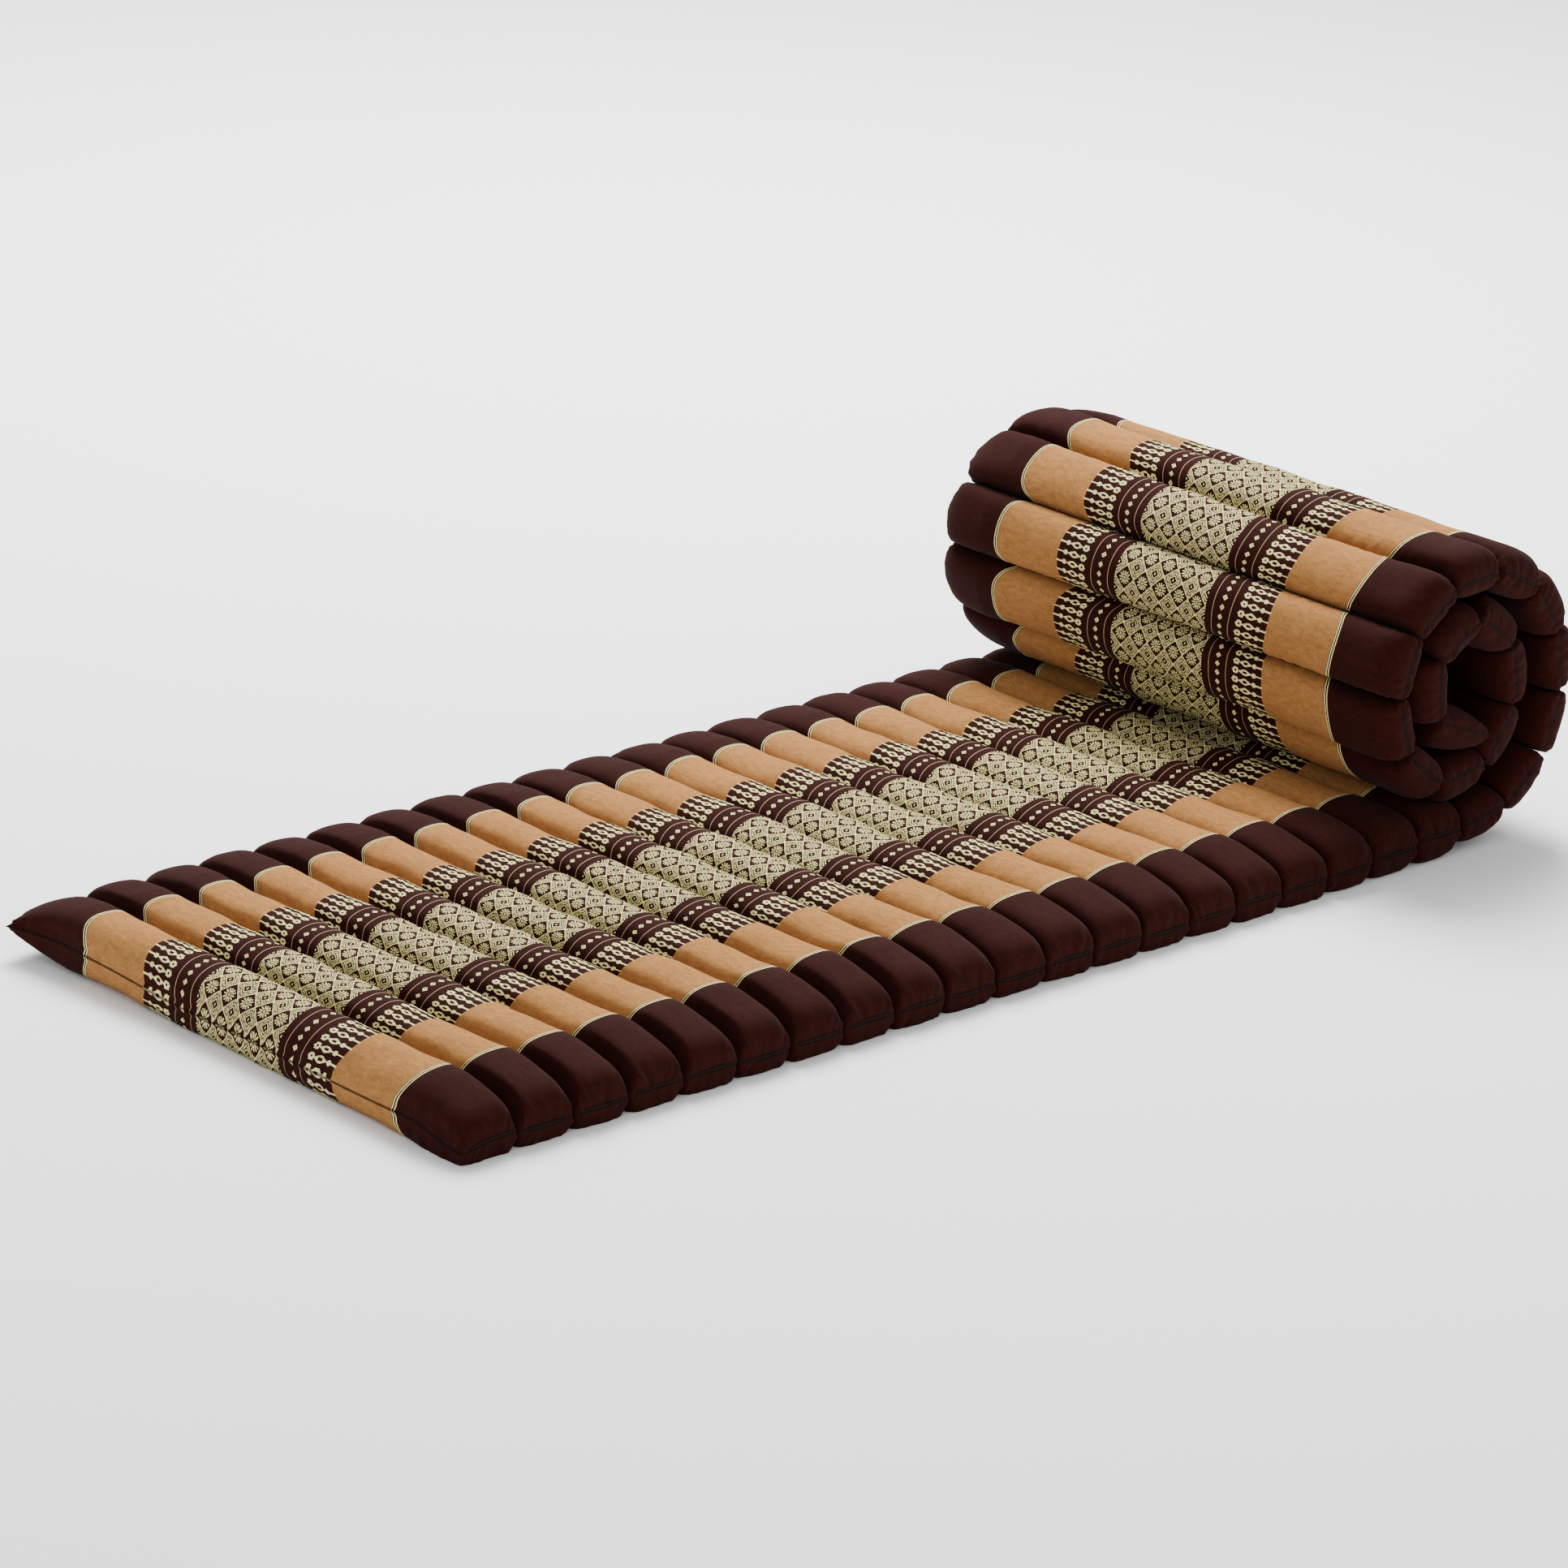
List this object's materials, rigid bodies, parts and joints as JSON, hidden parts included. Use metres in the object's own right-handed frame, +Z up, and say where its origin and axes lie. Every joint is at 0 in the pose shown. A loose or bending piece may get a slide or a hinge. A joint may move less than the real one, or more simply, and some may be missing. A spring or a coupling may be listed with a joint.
{
  "type": "futon mattress",
  "caption": "Roll-up kapok mattress of woven cotton quilted into cross channels, near end flat on the floor and far end rolled up on top.",
  "frame": {"origin": "on the floor, under the middle of the stored mattress's outline", "axes": "+X from the near end to the rolled end, +Y across the mat, +Z up"},
  "size_m": [1.1824, 0.5, 0.256],
  "materials": {
    "woven_cotton": "matt woven cotton, dark brown with a tan stripe and a cream woven figure, the same on both faces",
    "kapok_filling": "loose kapok fibre, off-white"
  },
  "bodies": {
    "middle": {"middle_cover": "woven_cotton", "middle_kapok": "kapok_filling"},
    "near_01": {"near_01_cover": "woven_cotton", "near_01_kapok": "kapok_filling"},
    "near_02": {"near_02_cover": "woven_cotton", "near_02_kapok": "kapok_filling"},
    "near_03": {"near_03_cover": "woven_cotton", "near_03_kapok": "kapok_filling"},
    "near_04": {"near_04_cover": "woven_cotton", "near_04_kapok": "kapok_filling"},
    "near_05": {"near_05_cover": "woven_cotton", "near_05_kapok": "kapok_filling"},
    "near_06": {"near_06_cover": "woven_cotton", "near_06_kapok": "kapok_filling"},
    "near_07": {"near_07_cover": "woven_cotton", "near_07_kapok": "kapok_filling"},
    "near_08": {"near_08_cover": "woven_cotton", "near_08_kapok": "kapok_filling"},
    "near_09": {"near_09_cover": "woven_cotton", "near_09_kapok": "kapok_filling"},
    "roll_01": {"roll_01_cover": "woven_cotton", "roll_01_kapok": "kapok_filling"},
    "roll_02": {"roll_02_cover": "woven_cotton", "roll_02_kapok": "kapok_filling"},
    "roll_03": {"roll_03_cover": "woven_cotton", "roll_03_kapok": "kapok_filling"},
    "roll_04": {"roll_04_cover": "woven_cotton", "roll_04_kapok": "kapok_filling"},
    "roll_05": {"roll_05_cover": "woven_cotton", "roll_05_kapok": "kapok_filling"},
    "roll_06": {"roll_06_cover": "woven_cotton", "roll_06_kapok": "kapok_filling"},
    "roll_07": {"roll_07_cover": "woven_cotton", "roll_07_kapok": "kapok_filling"},
    "roll_08": {"roll_08_cover": "woven_cotton", "roll_08_kapok": "kapok_filling"},
    "roll_09": {"roll_09_cover": "woven_cotton", "roll_09_kapok": "kapok_filling"},
    "roll_10": {"roll_10_cover": "woven_cotton", "roll_10_kapok": "kapok_filling"},
    "roll_11": {"roll_11_cover": "woven_cotton", "roll_11_kapok": "kapok_filling"},
    "roll_12": {"roll_12_cover": "woven_cotton", "roll_12_kapok": "kapok_filling"},
    "roll_13": {"roll_13_cover": "woven_cotton", "roll_13_kapok": "kapok_filling"},
    "roll_14": {"roll_14_cover": "woven_cotton", "roll_14_kapok": "kapok_filling"},
    "roll_15": {"roll_15_cover": "woven_cotton", "roll_15_kapok": "kapok_filling"},
    "roll_16": {"roll_16_cover": "woven_cotton", "roll_16_kapok": "kapok_filling"},
    "roll_17": {"roll_17_cover": "woven_cotton", "roll_17_kapok": "kapok_filling"},
    "roll_18": {"roll_18_cover": "woven_cotton", "roll_18_kapok": "kapok_filling"}
  },
  "joints": [
    {"name": "near_09_hinge", "type": "hinge", "parent": "middle", "child": "near_09", "pos_m": [-0.11662, 0, 0.024], "axis": [0, 1, 0], "range_deg": [0, 10]},
    {"name": "near_end_curl", "type": "hinge", "parent": "near_09", "child": "near_08", "pos_m": [-0.16925, 0, 0.024], "axis": [0, 1, 0], "range_deg": [0, 34]},
    {"name": "near_07_hinge", "type": "hinge", "parent": "near_08", "child": "near_07", "pos_m": [-0.22188, 0, 0.024], "axis": [0, 1, 0], "range_deg": [0, 34]},
    {"name": "near_06_hinge", "type": "hinge", "parent": "near_07", "child": "near_06", "pos_m": [-0.27451, 0, 0.024], "axis": [0, 1, 0], "range_deg": [0, 34]},
    {"name": "near_05_hinge", "type": "hinge", "parent": "near_06", "child": "near_05", "pos_m": [-0.32715, 0, 0.024], "axis": [0, 1, 0], "range_deg": [0, 34]},
    {"name": "near_04_hinge", "type": "hinge", "parent": "near_05", "child": "near_04", "pos_m": [-0.37978, 0, 0.024], "axis": [0, 1, 0], "range_deg": [0, 34]},
    {"name": "near_03_hinge", "type": "hinge", "parent": "near_04", "child": "near_03", "pos_m": [-0.43241, 0, 0.024], "axis": [0, 1, 0], "range_deg": [0, 34]},
    {"name": "near_02_hinge", "type": "hinge", "parent": "near_03", "child": "near_02", "pos_m": [-0.48504, 0, 0.024], "axis": [0, 1, 0], "range_deg": [0, 34]},
    {"name": "near_01_hinge", "type": "hinge", "parent": "near_02", "child": "near_01", "pos_m": [-0.53767, 0, 0.024], "axis": [0, 1, 0], "range_deg": [0, 34]},
    {"name": "roll_01_hinge", "type": "hinge", "parent": "middle", "child": "roll_01", "pos_m": [0.46233, 0, 0.024], "axis": [0, 1, 0], "range_deg": [0, 10]},
    {"name": "far_roll_open", "type": "hinge", "parent": "roll_01", "child": "roll_02", "pos_m": [0.51416, 0, 0.03314], "axis": [0, 1, 0], "range_deg": [0, 30.5]},
    {"name": "roll_03_hinge", "type": "hinge", "parent": "roll_02", "child": "roll_03", "pos_m": [0.55418, 0, 0.06732], "axis": [0, 1, 0], "range_deg": [0, 30.5]},
    {"name": "roll_04_hinge", "type": "hinge", "parent": "roll_03", "child": "roll_04", "pos_m": [0.57132, 0, 0.11708], "axis": [0, 1, 0], "range_deg": [0, 28]},
    {"name": "roll_05_hinge", "type": "hinge", "parent": "roll_04", "child": "roll_05", "pos_m": [0.56308, 0, 0.16907], "axis": [0, 1, 0], "range_deg": [0, 28]},
    {"name": "roll_06_hinge", "type": "hinge", "parent": "roll_05", "child": "roll_06", "pos_m": [0.53141, 0, 0.2111], "axis": [0, 1, 0], "range_deg": [0, 28]},
    {"name": "roll_07_hinge", "type": "hinge", "parent": "roll_06", "child": "roll_07", "pos_m": [0.48371, 0, 0.23334], "axis": [0, 1, 0], "range_deg": [0, 28]},
    {"name": "roll_08_hinge", "type": "hinge", "parent": "roll_07", "child": "roll_08", "pos_m": [0.43115, 0, 0.23059], "axis": [0, 1, 0], "range_deg": [0, 35]},
    {"name": "roll_09_hinge", "type": "hinge", "parent": "roll_08", "child": "roll_09", "pos_m": [0.38967, 0, 0.19819], "axis": [0, 1, 0], "range_deg": [0, 35]},
    {"name": "roll_10_hinge", "type": "hinge", "parent": "roll_09", "child": "roll_10", "pos_m": [0.37429, 0, 0.14786], "axis": [0, 1, 0], "range_deg": [0, 35]},
    {"name": "roll_11_hinge", "type": "hinge", "parent": "roll_10", "child": "roll_11", "pos_m": [0.39055, 0, 0.0978], "axis": [0, 1, 0], "range_deg": [0, 35]},
    {"name": "roll_12_hinge", "type": "hinge", "parent": "roll_11", "child": "roll_12", "pos_m": [0.43258, 0, 0.06613], "axis": [0, 1, 0], "range_deg": [0, 45.5]},
    {"name": "roll_13_hinge", "type": "hinge", "parent": "roll_12", "child": "roll_13", "pos_m": [0.48464, 0, 0.0739], "axis": [0, 1, 0], "range_deg": [0, 45.5]},
    {"name": "roll_14_hinge", "type": "hinge", "parent": "roll_13", "child": "roll_14", "pos_m": [0.51557, 0, 0.11649], "axis": [0, 1, 0], "range_deg": [0, 45.5]},
    {"name": "roll_15_hinge", "type": "hinge", "parent": "roll_14", "child": "roll_15", "pos_m": [0.50689, 0, 0.16839], "axis": [0, 1, 0], "range_deg": [0, 45.5]},
    {"name": "roll_16_hinge", "type": "hinge", "parent": "roll_15", "child": "roll_16", "pos_m": [0.46377, 0, 0.19858], "axis": [0, 1, 0], "range_deg": [0, 65]},
    {"name": "roll_17_hinge", "type": "hinge", "parent": "roll_16", "child": "roll_17", "pos_m": [0.41819, 0, 0.17227], "axis": [0, 1, 0], "range_deg": [0, 65]},
    {"name": "roll_18_hinge", "type": "hinge", "parent": "roll_17", "child": "roll_18", "pos_m": [0.42278, 0, 0.11984], "axis": [0, 1, 0], "range_deg": [0, 65]}
  ],
  "couplings": [
    {"joint": "near_09_hinge", "follows": "near_end_curl", "ratio": 0.29412},
    {"joint": "near_07_hinge", "follows": "near_end_curl", "ratio": 1},
    {"joint": "near_06_hinge", "follows": "near_end_curl", "ratio": 1},
    {"joint": "near_05_hinge", "follows": "near_end_curl", "ratio": 1},
    {"joint": "near_04_hinge", "follows": "near_end_curl", "ratio": 1},
    {"joint": "near_03_hinge", "follows": "near_end_curl", "ratio": 1},
    {"joint": "near_02_hinge", "follows": "near_end_curl", "ratio": 1},
    {"joint": "near_01_hinge", "follows": "near_end_curl", "ratio": 1},
    {"joint": "roll_01_hinge", "follows": "far_roll_open", "ratio": 0.32787},
    {"joint": "roll_03_hinge", "follows": "far_roll_open", "ratio": 1},
    {"joint": "roll_04_hinge", "follows": "far_roll_open", "ratio": 0.91803},
    {"joint": "roll_05_hinge", "follows": "far_roll_open", "ratio": 0.91803},
    {"joint": "roll_06_hinge", "follows": "far_roll_open", "ratio": 0.91803},
    {"joint": "roll_07_hinge", "follows": "far_roll_open", "ratio": 0.91803},
    {"joint": "roll_08_hinge", "follows": "far_roll_open", "ratio": 1.1475},
    {"joint": "roll_09_hinge", "follows": "far_roll_open", "ratio": 1.1475},
    {"joint": "roll_10_hinge", "follows": "far_roll_open", "ratio": 1.1475},
    {"joint": "roll_11_hinge", "follows": "far_roll_open", "ratio": 1.1475},
    {"joint": "roll_12_hinge", "follows": "far_roll_open", "ratio": 1.4918},
    {"joint": "roll_13_hinge", "follows": "far_roll_open", "ratio": 1.4918},
    {"joint": "roll_14_hinge", "follows": "far_roll_open", "ratio": 1.4918},
    {"joint": "roll_15_hinge", "follows": "far_roll_open", "ratio": 1.4918},
    {"joint": "roll_16_hinge", "follows": "far_roll_open", "ratio": 2.1311},
    {"joint": "roll_17_hinge", "follows": "far_roll_open", "ratio": 2.1311},
    {"joint": "roll_18_hinge", "follows": "far_roll_open", "ratio": 2.1311}
  ]
}
